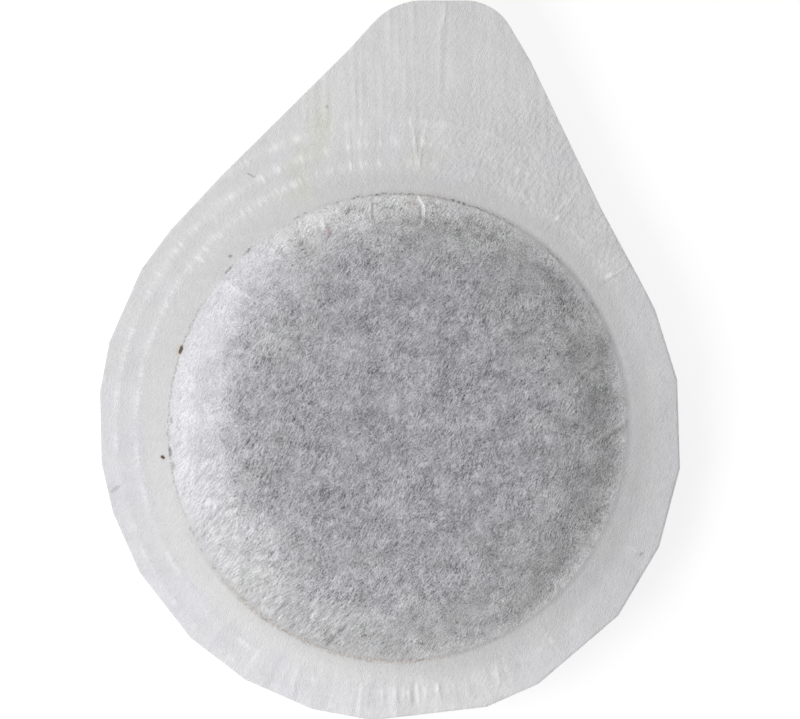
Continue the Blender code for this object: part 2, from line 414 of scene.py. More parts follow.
def coarse_spokes():
    """Rings of the side that faces the coffee: few, because they are never seen."""
    crests = [PLAIN_BAND]
    for ridge in range(RIDGE_COUNT):
        crests += [PLAIN_BAND + ridge * RIDGE_PITCH + RIDGE_CREST, PLAIN_BAND + (ridge + 1) * RIDGE_PITCH]
    return Spokes(HIDDEN_POCKET, np.array(crests) / SEALED_WIDTH, HIDDEN_OUTER)


# Pads that the jaws' teeth pressed into the rings, ring by ring from the pocket out: azimuth in degrees and
# half width in millimetres
PADS = (
    (
        (85.4, 0.16), (94, 0.14), (97.7, 0.17), (100, 0.2), (104.8, 0.3), (112.8, 0.6), (117.4, 0.5),
        (121.2, 0.5), (125.2, 0.7), (134.8, 0.9), (139.6, 0.5), (142.2, 0.5), (147.2, 0.9), (153, 0.8),
        (160, 1.3), (168, 1), (174, 1.6), (185.6, 1.4), (194.8, 1.3), (210.8, 1.2), (234.8, 1), (252, 0.5),
        (266.6, 0.4), (272, 0.3), (278.6, 0.25), (292, 0.4), (302.8, 0.5), (313, 0.5), (332.5, 0.4),
        (44.8, 0.3), (52.7, 0.25),
    ),
    (
        (84.9, 0.14), (86.6, 0.14), (93.5, 0.13), (97.6, 0.17), (99.9, 0.2), (104.4, 0.3), (110, 0.6),
        (114.8, 0.5), (118.6, 0.5), (125.6, 0.8), (136, 0.8), (139.6, 0.5), (142.8, 0.5), (147.2, 0.7),
        (152, 0.9), (160.4, 0.8), (165, 0.8), (173.4, 1.2), (183, 1), (206.4, 0.8), (218, 0.3),
        (234.4, 0.3), (257.2, 0.3), (264.2, 0.25), (269.6, 0.25), (281.4, 0.3), (44.8, 0.3), (64.8, 0.3),
    ),
    (
        (84.6, 0.14), (87.6, 0.14), (96.7, 0.17), (98.9, 0.17), (109, 0.7), (113.5, 0.7),
    ),
)

# Creases that run outwards: azimuth at their inner and outer ends in degrees, distance of those ends and half
# width in millimetres, and height as a share of the pads'. A crease below 0 is a groove.
CREASES = (
    (85.4, 84.4, 24, 29.4, 0.11, 1.3), (85.9, 87.6, 24, 29.4, 0.11, 1.4),
    (97.8, 96.6, 24.4, 29.4, 0.11, 0.7), (100.2, 98.9, 24.4, 29.4, 0.11, 0.9),
    (34.9, 34.2, 23.2, 27.8, 0.13, -1.7), (35.4, 35.7, 24, 27.4, 0.12, 1.6),
    (36.7, 36, 23.2, 28.6, 0.11, 0.9), (38, 37.6, 23, 28.4, 0.12, 0.9), (52.7, 52.8, 24.8, 29.5, 0.1, 0.8),
    (110.4, 111.2, 24.3, 26, 0.12, -0.8), (114.4, 115, 26.4, 27.5, 0.2, 1.4),
    (118.2, 118.9, 26.3, 27.4, 0.2, 1.7), (118.9, 119.5, 28, 29.2, 0.16, 0.9),
    (126.5, 126.5, 24, 25.2, 0.2, 1.2), (131, 131, 25.6, 26.8, 0.2, 1.2),
    (139.4, 139.4, 24, 25.2, 0.2, 1.7), (144.2, 144.2, 26, 27.2, 0.2, 1), (150, 150, 24.2, 25.2, 0.2, 1),
    (134, 134.4, 22.4, 23.6, 0.14, -0.8), (191.8, 192, 26.8, 28.4, 0.18, -1.4),
    (216.8, 216.8, 25.8, 27.4, 0.12, 1), (219.6, 219.6, 25.8, 27.4, 0.12, -1),
    (235.8, 235.8, 26, 28.2, 0.12, -1), (238.5, 238, 25, 27.6, 0.25, 0.6), (243, 242, 25.4, 28.4, 0.3, 0.5),
    (247.5, 249, 24.2, 28, 0.25, 0.6), (248.6, 250.2, 24.8, 28.2, 0.14, -0.6),
    (251, 253.5, 24.2, 26.2, 0.12, 0.9), (256.5, 256, 25.6, 28.4, 0.16, 0.6),
    (261.4, 261.4, 24.4, 27.6, 0.14, -0.9), (262.3, 262.3, 24.4, 27.6, 0.2, 1.2),
    (264.2, 264.2, 24.4, 27.8, 0.16, -0.7), (269.6, 269.8, 24.8, 26.2, 0.17, 1.1),
    (271.4, 271.4, 24.6, 26, 0.17, 1.6), (272.6, 272.6, 25, 26.2, 0.16, 1.2),
    (273.6, 273.6, 24.2, 26.4, 0.14, -1.2), (274.4, 274.4, 24.2, 26.4, 0.17, 1.8),
    (276.2, 276.2, 24.7, 26, 0.17, 1.4), (277.2, 277.2, 24.9, 25.9, 0.16, 1.1),
    (278.9, 278.9, 24.4, 26.3, 0.17, 1.7), (281, 281, 24.8, 25.8, 0.16, 0.9),
    (284.9, 284.6, 25, 26.6, 0.14, 1), (289.8, 290.2, 24, 27.4, 0.1, 0.8),
    (292.5, 291, 24.2, 26.6, 0.16, 1.6), (294, 293.4, 23.2, 27, 0.12, -1.2),
    (305.2, 305.2, 24.2, 26.6, 0.16, -0.8), (332.4, 332.4, 25.6, 26.8, 0.22, -1),
    (357.4, 357.4, 23, 26.6, 0.12, 0.4), (0, 0, 23, 26.6, 0.12, -0.4),
)

# Straight creases in the tab and the pocket: x and y of both ends and half width in millimetres, and height
STRAIGHT_CREASES = (
    (-5.2, 29, -5.2, 36.5, 0.13, 0.5), (-4, 28.2, -4, 37.4, 0.16, 0.7), (-2.4, 33, -2.4, 39.4, 0.14, 0.6),
    (-1.7, 34.2, -1.7, 40, 0.13, -0.5), (-0.8, 36.6, -0.8, 40.4, 0.14, 0.9), (0.7, 31, 0.7, 33.2, 0.1, 0.8),
    (1.6, 36.8, 1.4, 40.4, 0.15, 1.4), (4.2, 38, 4.5, 40.2, 0.2, 2.4), (3.9, 30.4, 4, 40.4, 0.15, 1),
    (4.5, 31, 4.5, 39.6, 0.14, -1.2), (6.6, 31, 6.6, 38, 0.15, 0.5), (1.9, 22.1, 2.55, 20.9, 0.14, 2.4),
    (2.55, 21.3, 2.65, 20, 0.15, 2.4), (2.65, 20.6, 2.3, 19.1, 0.14, 2.2),
    (2.15, 21.2, 2.2, 19.7, 0.12, -1.8), (-2.6, 21.6, -2.65, 19.8, 0.14, 2.2),
    (-2.3, 21.4, -2.35, 19.6, 0.12, -1), (-7.2, 20.3, -7, 18.9, 0.18, 2.2),
    (-6.8, 19.6, -6.3, 18, 0.14, -1.8), (-16.8, 14.1, -13.4, 12, 0.2, 1.8),
    (-16.5, 14.05, -13.3, 14, 0.13, 1), (11.3, 23.9, 12.3, 26.3, 0.16, 1.2),
    (14.6, 19.5, 16, 20.4, 0.16, 1), (15, 20.4, 17.7, 23.1, 0.14, 1.3), (18.2, 18.2, 19, 19.2, 0.15, 1),
    (19.6, 14.1, 20.4, 14.9, 0.14, 1.2), (16.2, 4.1, 19.3, 6.7, 0.17, 1.4),
    (16.4, 3.8, 19.5, 6.4, 0.15, -0.6), (18.2, -1.6, 22.1, 1, 0.2, 1.6), (18.6, -1.9, 22, 0.5, 0.17, -1),
    (-12.3, -17.9, -11, -16.6, 0.16, 1), (-11.8, -17.9, -10.2, -16.1, 0.16, -1.9),
    (-6.9, -20.8, -4.6, -18.5, 0.15, -2.4), (-6.4, -20.9, -4.2, -18.7, 0.16, 0.9),
    (-4.1, -17, -2.9, -16, 0.15, -1.4), (-8.8, -17.8, -7.4, -16, 0.16, 1.2),
    (-8.4, -16.2, -7.7, -15, 0.15, -1.3), (-5.1, -15.6, -4.5, -14.2, 0.14, -1.3),
)


def sealed_places(spokes):
    """For each point, how far it is outwards from its ridge's inner foot, and which ridge that is."""
    along = (spokes.past - PLAIN_BAND) / RIDGE_PITCH
    number = np.clip(np.floor(along), 0, RIDGE_COUNT - 1)
    return np.clip(along - number, 0, 1) * RIDGE_PITCH, number


def ridge_shape(spokes):
    """A ring of the seal climbs quickly from its inner foot to its crest, and falls slowly to the next."""
    outwards, _ = sealed_places(spokes)
    return bump(outwards, RIDGE_CREST, RIDGE_HALF_WIDTH)


def pad_shape(spokes):
    """The pads named above, and lower ones where a noise along the rings is high. They are broken into ticks
    on the upper left and lower on the right, and the first ring has more of them at the upper right."""
    outwards, number = sealed_places(spokes)
    wider = spokes.near(92, 22) + spokes.near(136, 22)
    on_crest = bump(outwards, RIDGE_CREST, (0.13 + 0.09 * wider) * RIDGE_PITCH)
    ticks = ease(spokes.drawn_out(0.12, 0.6, PAD_SEED + 9), -1.0, 0.8)
    broken = 1 - 0.65 * spokes.near(138, 38) * (1 - ticks)
    total = np.zeros_like(outwards)
    for ridge, pads in enumerate(PADS):
        on_ring = 0.45 * ease(spokes.drawn_out(0.3, 1.3, PAD_SEED + ridge), 0.4, 1.5)
        on_ring += 0.14 * spokes.near(172, 24) + 0.40 * spokes.near(136, 28)
        if ridge == 0:
            more = ease(spokes.drawn_out(0.5, 1.0, PAD_SEED + 7), -0.2, 1.2)
            on_ring += 0.7 * spokes.near(50, 22) * more
        for azimuth, half_width in pads:
            on_ring = np.maximum(on_ring, bump(spokes.across(azimuth), 0, half_width * MM))
        total += np.where(number == ridge, on_crest * on_ring * broken, 0)
    total *= 1 - 0.25 * spokes.near(136, 28)
    return total * (0.45 + 0.55 * spokes.within(170, 80, 150))


def crease_shape(spokes):
    """Bells across each crease, which fade out at its two ends."""
    total = np.zeros_like(spokes.x)
    for inner, outer, start, end, half_width, height in CREASES:
        share = (spokes.distance / MM - start) / (end - start)
        azimuth = inner + (outer - inner) * np.clip(share, 0, 1.2) ** 2
        across = bump(spokes.across(azimuth), 0, half_width * MM)
        total += height * across * band(share, -0.05, 0.2, 0.8, 1.05)
    for x, y, end_x, end_y, half_width, height in STRAIGHT_CREASES:
        share, away = spokes.beside_line((x, y), (end_x, end_y))
        total += height * bump(away, 0, half_width * MM) * band(share, -0.1, 0.25, 0.75, 1.1)
    return total


def wrinkles(spokes):
    """Fine wrinkles that run outwards in the seam, deepest at the bottom, and straight up in the tab."""
    outwards = spokes.drawn_out(0.12, 0.8, WRINKLE_SEED) + 0.6 * spokes.drawn_out(0.2, 1.9, WRINKLE_SEED + 1)
    upwards = noise(spokes.x, 0.10 * spokes.y, 0.75 * MM, WRINKLE_SEED + 2)
    in_tab = ease(spokes.y, 26 * MM, 31 * MM)
    deep = 1 + 3.0 * spokes.near(264, 28) * spokes.beyond(1.2, 2.6)
    return deep * (outwards + (3.5 * upwards - outwards) * in_tab) * spokes.beyond(0.1, 1.2)


def edge_droop(spokes):
    """The blade has pressed the cut edge down a little, more on the right than on the left, and hardly at the
    upper right."""
    depth = (0.040 + 0.022 * np.cos(spokes.angle)) * (1 - 0.7 * spokes.near(58, 28)) * MM
    return -depth * (1 - ease(spokes.to_edge, 0, DROOP_WIDTH))


def seam_height(spokes, sizes, side):
    """Rings, pads, creases, a wave that grows towards the cut edge, and the tab's lift."""
    past = np.clip(spokes.past, 0, None)
    grown = np.clip(past / FLANGE_WIDTH, 0, 1)
    wave = sizes.wave_height * grown * np.sin(EDGE_WAVES * spokes.angle)
    lift = sizes.tab_lift * (np.clip(spokes.y - POCKET_RADIUS, 0, None) / (TAB_TIP_Y - POCKET_RADIUS)) ** 2
    slack = SLACK * grown * spokes.field(4.5, 41)
    slack += sizes.wrinkle_height * wrinkles(spokes)
    ridges = sizes.ridge_height * ridge_shape(spokes) * (0.6 - 0.4 * np.cos(spokes.angle))
    pressed = sizes.pad_height * (pad_shape(spokes) + (crease_shape(spokes) if side > 0 else 0))
    return wave + lift + slack + edge_droop(spokes) + side * (ridges + pressed)


def stroke_place(spokes):
    """1 on the lower left of the shoulder, where the paper is drawn into short strokes, and 0 elsewhere."""
    return spokes.within(228, 20, 66) * band(spokes.share, 0.60, 0.82, 0.96, 1.0)


def tufts(spokes):
    """Short strokes that slant up to the right over the lower left of the shoulder, in patches: noise that is
    drawn out along one direction."""
    turn = math.radians(TUFT_DIRECTION)
    along = spokes.x * math.cos(turn) + spokes.y * math.sin(turn)
    across = spokes.y * math.cos(turn) - spokes.x * math.sin(turn)
    strokes = noise(0.25 * along, across, 0.6 * MM, TUFT_SEED)
    strokes += 0.8 * noise(0.35 * along, across, 1.2 * MM, TUFT_SEED + 1)
    patches = 0.6 + 0.5 * spokes.field(3.5, TUFT_SEED + 2)
    return strokes * patches * stroke_place(spokes)


def pocket_lumps(spokes, sizes, seed):
    """Grounds under the paper push it up in lumps of three sizes, and it is drawn into pleats at the rim."""
    inside = 1 - ease(spokes.share, 0.93, 1.0)
    lumps = spokes.field(2.4, seed) + 1.6 * spokes.field(5, seed + 1)
    lumps += 3.0 * spokes.field(11, seed + 2)
    shoulder = band(spokes.share, 0.76, 0.92, 0.95, 1.0)
    uneven = spokes.field(7, seed + 3)
    pleats = spokes.drawn_out(0.25, 1.7, seed + 4) * (0.8 + 0.7 * spokes.near(235, 45))
    pleats += np.sin(PLEATS * spokes.angle + 1.2 * uneven) * (0.6 + 0.4 * uneven)
    height = lumps * inside + pleats * shoulder + 0.8 * tufts(spokes)
    return sizes.lump_height * height * (spokes.share < 1)


def rim_groove(spokes):
    """The narrow groove where the jaws hold the paper at the pocket's rim."""
    return -GROOVE_DEPTH * bump(spokes.past, GROOVE_PLACE, GROOVE_HALF_WIDTH)


def place_object(name, data):
    obj = bpy.data.objects.new(name, data)
    bpy.context.scene.collection.objects.link(obj)
    return obj


def skin(name, rings):
    """A closed skin over rings of points, given as an array of rings by spokes by 3. The first and last rings
    are single points, each fanned to its neighbour, and the rings between are joined by four-sided faces."""
    middle = rings[1:-1]
    count, spokes = middle.shape[:2]
    points = np.vstack([rings[:1, 0], middle.reshape(-1, 3), rings[-1:, 0]])
    places = 1 + np.arange(count * spokes).reshape(count, spokes)
    following = np.roll(places, -1, 1)
    quads = np.stack([places[:-1], places[1:], following[1:], following[:-1]], -1).reshape(-1, 4)
    first = np.stack([np.zeros(spokes, int), places[0], following[0]], -1)
    last = np.stack([places[-1], np.full(spokes, len(points) - 1), following[-1]], -1)
    mesh = bpy.data.meshes.new(name)
    mesh.from_pydata(points.tolist(), [], first.tolist() + quads.tolist() + last.tolist())
    mesh.shade_smooth()
    mesh.set_sharp_from_angle(angle=math.radians(SHARP_ANGLE))
    return place_object(name, mesh)


def keep(obj, name, rings):
    """Keeps a value or a vector for each point of a skin as an attribute that its material reads."""
    middle = rings[1:-1]
    wide = rings.ndim == 3
    flat = middle.reshape(-1, 3) if wide else middle.reshape(-1)
    flat = np.concatenate([rings[:1, 0], flat, rings[-1:, 0]]).astype(np.float32)
    attribute = obj.data.attributes.new(name, "FLOAT_VECTOR" if wide else "FLOAT", "POINT")
    attribute.data.foreach_set("vector" if wide else "value", flat.ravel())


def with_middle(rings):
    """Adds the middle in front, as a ring whose points all have the first ring's mean."""
    return np.concatenate([np.broadcast_to(rings[:1].mean(1, keepdims=True), rings[:1].shape), rings])


def join_sides(side, fine, hidden):
    """Rings in the order that makes the faces point out: over the upper side outwards, and back below."""
    above, below = (fine, hidden) if side > 0 else (hidden, fine)
    return np.concatenate([with_middle(above), with_middle(below)[::-1]])


def peel_shape(spokes):
    """How dimpled the paper is, like orange peel: most in the seam to the right of the pocket's top."""
    right_of_top = spokes.near(60, 26) * spokes.beyond(1.2, 2.6)
    return np.clip(right_of_top * (1 - 0.8 * ease(spokes.y, 27 * MM, 34 * MM)) + 0.15, 0, 1)


def make_sheet(name, sizes, side, seed, tones, stains_and_rim_shade):
    """A sheet of paper, with side 1 for the upper one and -1 for the lower one. Its fine side is seen, and
    its hidden side lies the paper's thickness behind. In the seam, the two sheets nearly touch. The fine
    side's own places and tones are kept on the mesh, and the hidden side has plain ones."""
    fine, hidden = fine_spokes(), coarse_spokes()
    seam = SEAM_HEIGHT + side * SEAM_GAP / 2
    if side > 0:
        shape, depth = crown_shape, sizes.crown_rise - THICKNESS - SEAM_GAP / 2
    else:
        shape, depth = cup_shape, SEAM_HEIGHT - THICKNESS - SEAM_GAP / 2
    sides = []
    for spokes, thickness in ((fine, THICKNESS), (hidden, 0.0)):
        lumps = pocket_lumps(spokes, sizes, seed) + rim_groove(spokes)
        if side < 0:
            lumps = lumps * ease(spokes.share, REST_RADIUS / POCKET_RADIUS, 0.8)
        raised = thickness + depth * shape(spokes.share) + lumps
        height = seam + side * raised + seam_height(spokes, sizes, side)
        sides.append(np.stack([spokes.x, spokes.y, height], -1))
    obj = skin(name, join_sides(side, *sides))

    flat, past_rim = fine.laid_flat(SEAM_HEIGHT + side * depth * shape(fine.share))
    rim = np.stack([past_rim, fine.angle * POCKET_RADIUS, peel_shape(fine)], -1)
    blank = np.zeros_like(hidden.x)
    behind = np.stack([hidden.x, hidden.y, blank], -1)
    plain = np.zeros_like(behind)
    keep(obj, "laid_flat", join_sides(side, flat, behind))
    keep(obj, "tone", join_sides(side, tones(fine), plain + (0.4, 0.03, 0.0)))
    keep(obj, "stains_and_rim_shade", join_sides(side, stains_and_rim_shade(fine), plain))
    keep(obj, "rim", join_sides(side, rim, plain + (1.0, 0.0, 0.0)))
    keep(obj, "cool", join_sides(side, coolness(fine), blank))
    keep(obj, "strokes", join_sides(side, stroke_place(fine), blank))
    return obj


class Nodes:
    """Short ways to place and join the nodes of a material or a group."""

    def __init__(self, tree):
        self.tree = tree

    def add(self, kind, values=None, **settings):
        made = self.tree.nodes.new(kind)
        made.location = (len(self.tree.nodes) % 12 * 190, -(len(self.tree.nodes) // 12) * 330)
        for name, value in settings.items():
            setattr(made, name, value)
        for socket, value in (values or {}).items():
            self.feed(made.inputs[socket], value)
        return made

    def feed(self, socket, value):
        if isinstance(value, bpy.types.NodeSocket):
            self.tree.links.new(value, socket)
        else:
            socket.default_value = (*value, 1) if socket.type == "RGBA" else value

    def math(self, operation, *values, clamp=False):
        made = self.add("ShaderNodeMath", dict(enumerate(values)), operation=operation, use_clamp=clamp)
        return made.outputs[0]

    def times(self, first, *others):
        for other in others:
            first = self.math("MULTIPLY", first, other)
        return first

    def plus(self, first, *others):
        for other in others:
            first = self.math("ADD", first, other)
        return first

    def centred(self, value, strength):
        """A noise less its mean, and then as strong as is wanted."""
        return self.times(self.math("SUBTRACT", value, 0.5), strength)

    def vector(self, operation, *values):
        return self.add("ShaderNodeVectorMath", dict(enumerate(values)), operation=operation).outputs[0]

    def scaled(self, vector, factor):
        return self.add("ShaderNodeVectorMath", {0: vector, "Scale": factor}, operation="SCALE").outputs[0]

    def shaken(self, place, scale, reach, **settings):
        """A place that noise moves about."""
        drift = self.noise(place, scale, output="Color", **settings)
        return self.vector("ADD", place, self.scaled(self.vector("SUBTRACT", drift, (0.5, 0.5, 0.5)), reach))

    def turned(self, place, angle, length, width):
        """A place seen from something that is turned, in units of its length and width."""
        back = self.add("ShaderNodeVectorRotate", {"Vector": place}, rotation_type="Z_AXIS")
        self.feed(back.inputs["Angle"], self.times(angle, -1.0))
        size = self.add("ShaderNodeCombineXYZ", {0: length, 1: width, 2: 1.0}).outputs[0]
        return self.vector("DIVIDE", back.outputs[0], size)

    def mix(self, factor, first, second, blend="MIX"):
        made = self.add("ShaderNodeMix", {0: factor, 6: first, 7: second}, data_type="RGBA", blend_type=blend)
        return made.outputs[2]

    def ramp(self, value, low, high, to_low=0.0, to_high=1.0):
        values = {"Value": value, "From Min": low, "From Max": high, "To Min": to_low, "To Max": to_high}
        return self.add("ShaderNodeMapRange", values, interpolation_type="SMOOTHSTEP").outputs[0]

    def noise(self, vector, scale, detail=1.0, roughness=0.5, dimensions="2D", output="Fac"):
        values = {"Vector": vector, "Scale": scale, "Detail": detail, "Roughness": roughness}
        return self.add("ShaderNodeTexNoise", values, noise_dimensions=dimensions).outputs[output]

    def note(self, name, output="Vector"):
        """What is kept on the mesh under a name."""
        return self.add("ShaderNodeAttribute", attribute_type="GEOMETRY", attribute_name=name).outputs[output]

    def object_place(self):
        """Object coordinates in millimetres."""
        return self.scaled(self.add("ShaderNodeTexCoord").outputs["Object"], 1 / MM)

    def apart(self, vector):
        return self.add("ShaderNodeSeparateXYZ", {0: vector}).outputs

    def group(self, name, values):
        """A node of a group, which is made when it is first needed."""
        tree = bpy.data.node_groups.get(name) or GROUP_MAKERS[name](name)
        return self.add("ShaderNodeGroup", values, node_tree=tree).outputs[0]

    def fibres(self, place, turn, length, width, seed):
        """Fibres that run at an angle in degrees."""
        values = {"Place": place, "Angle": math.radians(turn), "Length": length, "Width": width, "Seed": seed}
        return self.group("Fibres One Way", values)


def new_group(name, inputs, output):
    """An empty node group with named sockets: its nodes, what comes into it, and the socket that goes out."""
    tree = bpy.data.node_groups.new(name, "ShaderNodeTree")
    kinds = {float: "NodeSocketFloat", tuple: "NodeSocketVector"}
    for socket, default in inputs.items():
        made = tree.interface.new_socket(socket, in_out="INPUT", socket_type=kinds[type(default)])
        made.default_value = default
    tree.interface.new_socket(output, in_out="OUTPUT", socket_type="NodeSocketFloat")
    nodes = Nodes(tree)
    return nodes, nodes.add("NodeGroupInput").outputs, nodes.add("NodeGroupOutput").inputs[output]


def fibre_group(name):
    """Fibres that run one way: noise drawn out along them."""
    inputs = {"Place": (0.0, 0.0, 0.0), "Angle": 0.0, "Length": 1.0, "Width": 0.2, "Seed": 0.0}
    nodes, given, out = new_group(name, inputs, "Fibre")
    place = nodes.turned(given["Place"], given["Angle"], given["Length"], given["Width"])
    moved = nodes.add("ShaderNodeCombineXYZ", {0: given["Seed"], 1: given["Seed"]}).outputs[0]
    nodes.feed(out, nodes.noise(nodes.vector("ADD", place, moved), 1.0, detail=0.0))
    return nodes.tree


# Layers of fibres in the felt: how far each is turned from the main way in degrees, its weight, and its pair
FELT_LAYERS = ((0, 0.28, 0), (18, 0.23, 0), (-20, 0.22, 1), (45, 0.19, 1), (-48, 0.18, 2), (85, 0.17, 2))


def felt_group(name):
    """A felt of fibres in the layers named above. One pair or another is thicker from place to place."""
    inputs = {"Place": (0.0, 0.0, 0.0), "Direction": 0.0, "Length": 1.0, "Width": 0.2}
    nodes, given, out = new_group(name, inputs, "Felt")
    place = nodes.shaken(given["Place"], 0.35, 0.7)
    thick = nodes.apart(nodes.noise(given["Place"], 0.28, output="Color"))
    total = 0.0
    for turn, weight, pair in FELT_LAYERS:
        angle = nodes.plus(given["Direction"], math.radians(turn))
        values = {"Place": place, "Angle": angle, "Length": given["Length"], "Width": given["Width"]}
        layer = nodes.group("Fibres One Way", values | {"Seed": 7.3 + 0.37 * turn})
        share = nodes.ramp(thick[pair], 0.36, 0.64, 0.6 * weight, 1.4 * weight)
        total = nodes.plus(total, nodes.centred(layer, share))
    nodes.feed(out, total)
    return nodes.tree


def mark_group(name):
    """1 inside an oval mark that is turned by an angle, 0 outside it, and a soft edge between."""
    inputs = {"Place": (0.0, 0.0, 0.0), "Centre": (0.0, 0.0, 0.0), "Turn": 0.0, "Length": 1.0, "Width": 1.0}
    nodes, given, out = new_group(name, inputs, "Mark")
    moved = nodes.vector("SUBTRACT", given["Place"], given["Centre"])
    place = nodes.turned(moved, given["Turn"], given["Length"], given["Width"])
    away = nodes.add("ShaderNodeVectorMath", {0: place}, operation="LENGTH").outputs["Value"]
    nodes.feed(out, nodes.ramp(away, 0.30, 0.62, 1.0, 0.0))
    return nodes.tree


GROUP_MAKERS = {"Fibres One Way": fibre_group, "Felt of Fibres": felt_group, "Oval Mark": mark_group}


def new_material(name):
    material = bpy.data.materials.new(name)
    material.use_nodes = True
    return material, Nodes(material.node_tree), material.node_tree.nodes["Principled BSDF"]


# Marks seen from above: x, y, length, width in millimetres, turn in degrees, colour and strength
MARKS = (
    (-20.72, 7.3, 1.35, 0.85, 72, (0.62, 0.5, 0.4), 0.4),
    (-20.6, 7.4, 0.85, 0.34, 72, (0.07, 0.055, 0.05), 0.9),
    (-22.32, -2.82, 0.7, 0.55, -45, (0.55, 0.44, 0.42), 0.4),
    (-22.32, -2.82, 0.45, 0.32, -45, (0.09, 0.04, 0.03), 0.95),
    (-21.62, -2.3, 1, 0.36, 95, (0.14, 0.13, 0.13), 0.5),
    (-21.3, -3.6, 0.9, 0.4, 100, (0.2, 0.19, 0.18), 0.35),
    (-21.5, 0.7, 0.7, 0.3, 85, (0.14, 0.13, 0.13), 0.4),
    (-6.75, 30.45, 0.5, 0.3, 110, (0.25, 0.27, 0.2), 0.4),
    (-13.9, 23.95, 1.05, 0.16, -27, (0.22, 0.2, 0.15), 0.45),
    (1.2, 21.3, 1.6, 1.1, 10, (0.46, 0.42, 0.35), 0.22), (3.1, 21.7, 1.4, 0.6, 5, (0.46, 0.4, 0.33), 0.25),
    (-6.55, 18.6, 1.1, 0.6, 115, (0.6, 0.4, 0.46), 0.25),
    (-4.65, 20.6, 0.45, 0.35, 90, (0.16, 0.15, 0.15), 0.5), (-8, 19.75, 2, 1.2, 15, (0.8, 0.8, 0.79), 0.4),
    (-10.6, 18.4, 2.2, 1.3, 30, (0.8, 0.8, 0.79), 0.32),
    (-15.9, 16.3, 0.4, 0.3, 20, (0.18, 0.17, 0.17), 0.55),
    (23.1, -12, 0.42, 0.3, 20, (0.26, 0.26, 0.27), 0.5),
    (22.3, -11.55, 1.2, 0.22, -32, (0.85, 0.85, 0.86), 0.3),
    (-26.8, -5.8, 1.3, 0.42, 35, (0.36, 0.36, 0.36), 0.45),
)


def add_grounds(nodes, paper, place, contrast, crumb):
    """What shows in the paper over the coffee: dark grounds, pale flecks and the thickest fibres."""
    cells = nodes.add("ShaderNodeTexVoronoi", {"Vector": place, "Scale": 0.95}, voronoi_dimensions="2D")
    chance, size, _ = nodes.apart(cells.outputs["Color"])
    reach = nodes.times(cells.outputs["Distance"], nodes.ramp(size, 0.0, 1.0, 1.6, 0.8))
    dot = nodes.times(nodes.ramp(reach, 0.08, 0.17, 1.0, 0.0), nodes.ramp(chance, 0.35, 0.8))
    paper = nodes.mix(nodes.times(dot, nodes.times(contrast, 2.6)), paper, crumb)
    fleck = nodes.noise(nodes.vector("ADD", place, (50.0, 20.0, 0.0)), 1.1, detail=3.0, roughness=0.65)
    fleck = nodes.times(nodes.ramp(fleck, 0.56, 0.74), nodes.times(contrast, 2.4))
    paper = nodes.mix(fleck, paper, FLECK_COLOUR)
    for turn, low in ((50, 0.70), (68, 0.72), (20, 0.73), (104, 0.74)):
        thread = nodes.ramp(nodes.fibres(place, turn, 1.3, 0.14, 3.1 * turn), low, low + 0.12)
        paper = nodes.mix(nodes.times(thread, nodes.times(contrast, 1.2)), paper, THREAD_COLOUR)
    return paper


def add_rim_lines(nodes, paper, rim_place, past_rim, dashes, brown, crumb):
    """Dark dashes along the pocket's rim, which are crumbs and, on the left and on top, painted shade in
    its bend, and a brown line; both wander and are broken.
    """
    wander = nodes.centred(nodes.noise(rim_place, 1.5, detail=3.0, roughness=0.65), 0.55 * MM)
    off_rim = nodes.math("ABSOLUTE", nodes.plus(past_rim, wander))
    broken = nodes.ramp(nodes.noise(rim_place, 3.6), 0.34, 0.62, 0.15, 0.9)
    dash = nodes.times(nodes.ramp(off_rim, 0.03 * MM, 0.15 * MM, 1.0, 0.0), dashes, broken)
    line = nodes.times(nodes.ramp(off_rim, 0.04 * MM, 0.40 * MM, 1.0, 0.0), brown, broken)
    return nodes.mix(line, nodes.mix(dash, paper, crumb), RIM_LINE_COLOUR)


def add_marks(nodes, paper, marks):
    """Ragged oval marks at their places seen from above."""
    above = nodes.shaken(nodes.object_place(), 3.5, 0.3, detail=2.0, dimensions="3D")
    above = nodes.vector("MULTIPLY", above, (1.0, 1.0, 0.0))
    for x, y, length, width, turn, colour, strength in marks:
        values = {"Place": above, "Centre": (x, y, 0.0), "Turn": math.radians(turn)}
        mark = nodes.group("Oval Mark", values | {"Length": length, "Width": width})
        paper = nodes.mix(nodes.times(mark, strength), paper, colour)
    return paper


